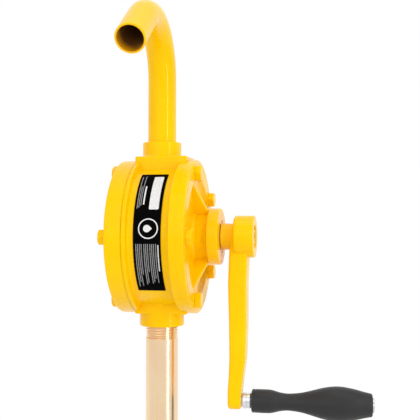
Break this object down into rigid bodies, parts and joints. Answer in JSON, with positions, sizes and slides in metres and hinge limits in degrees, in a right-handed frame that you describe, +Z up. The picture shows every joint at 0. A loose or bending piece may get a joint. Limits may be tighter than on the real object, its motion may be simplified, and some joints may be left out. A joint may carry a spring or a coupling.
{
  "type": "drum barrel pump",
  "caption": "Hand-cranked rotary vane pump on a telescopic suction tube in a drum bung adapter, with a gooseneck spout.",
  "frame": {"origin": "centre of the bung adapter's gasket seat, where it lies on the drum", "axes": "+Z up along the suction tube, +X along the pump shaft towards the crank, -Y towards the spout's mouth"},
  "size_m": [0.2521, 0.2016, 0.7429],
  "materials": {
    "yellow_paint": "glossy enamel, smooth over as-cast iron",
    "zinc_yellow": "yellow zinc passivate on drawn steel tube",
    "bright_zinc": "bright zinc plate",
    "cast_iron": "turned and milled, oiled",
    "bronze": "machined bearing bronze",
    "grip_plastic": "moulded, fine satin grain",
    "strainer_plastic": "moulded",
    "rubber": "moulded nitrile",
    "gasket_fibre": "pressed fibre sheet",
    "label_film": "printed film, satin"
  },
  "bodies": {
    "adapter": {"bung_adapter": "zinc_yellow", "adapter_gasket": "rubber"},
    "adapter_clamp": {"adapter_screw": "bright_zinc"},
    "swivel": {"swivel_ring": "rubber"},
    "pump": {"pump_body": "yellow_paint", "front_cover": "yellow_paint", "rear_cover": "yellow_paint", "front_gasket": "gasket_fibre", "rear_gasket": "gasket_fibre", "front_bolt_1": "yellow_paint", "front_bolt_2": "yellow_paint", "front_bolt_3": "yellow_paint", "front_bolt_4": "yellow_paint", "front_bolt_5": "yellow_paint", "rear_bolt_1": "yellow_paint", "rear_bolt_2": "yellow_paint", "rear_bolt_3": "yellow_paint", "rear_bolt_4": "yellow_paint", "rear_bolt_5": "yellow_paint", "front_bush": "bronze", "rear_bush": "bronze", "shaft_seal": "rubber", "seal_retainer": "bright_zinc", "spout_tube": "yellow_paint", "suction_tube": "zinc_yellow", "telescope_collar": "bright_zinc", "label_plate": "label_film"},
    "crank": {"drive_shaft": "bright_zinc", "rotor_key": "bright_zinc", "rotor": "cast_iron", "vane_1": "bronze", "vane_2": "bronze", "vane_3": "bronze", "vane_4": "bronze", "vane_spring_1": "bright_zinc", "vane_spring_2": "bright_zinc", "vane_spring_3": "bright_zinc", "vane_spring_4": "bright_zinc", "crank_arm": "yellow_paint", "crank_washer": "bright_zinc", "crank_nut": "bright_zinc", "handle_spindle": "bright_zinc", "spindle_collar": "bright_zinc"},
    "handle": {"grip": "grip_plastic"},
    "telescope": {"inner_tube": "zinc_yellow", "sliding_seal": "rubber", "foot_strainer": "strainer_plastic"},
    "telescope_clamp": {"telescope_screw": "bright_zinc"}
  },
  "joints": [
    {"name": "pump_swivel", "type": "hinge", "parent": "adapter", "child": "swivel", "pos_m": [0, 0, 0], "axis": [0, 0, 1], "continuous": true},
    {"name": "pump_height", "type": "slide", "parent": "swivel", "child": "pump", "axis": [0, 0, 1], "range_m": [-0.105, 0.185]},
    {"name": "crank_spin", "type": "hinge", "parent": "pump", "child": "crank", "pos_m": [0, 0, 0.241], "axis": [1, 0, 0], "continuous": true},
    {"name": "grip_spin", "type": "hinge", "parent": "crank", "child": "handle", "pos_m": [0.09, 0, 0.081], "axis": [1, 0, 0], "continuous": true},
    {"name": "telescope_slide", "type": "slide", "parent": "pump", "child": "telescope", "axis": [0, 0, -1], "range_m": [0, 0.3]},
    {"name": "adapter_screw_turn", "type": "hinge", "parent": "adapter", "child": "adapter_clamp", "pos_m": [0, 0.03, 0.029], "axis": [0, 1, 0], "range_deg": [0, 720]},
    {"name": "telescope_screw_turn", "type": "hinge", "parent": "pump", "child": "telescope_clamp", "pos_m": [0, 0.02, -0.238], "axis": [0, 1, 0], "range_deg": [0, 720]}
  ]
}
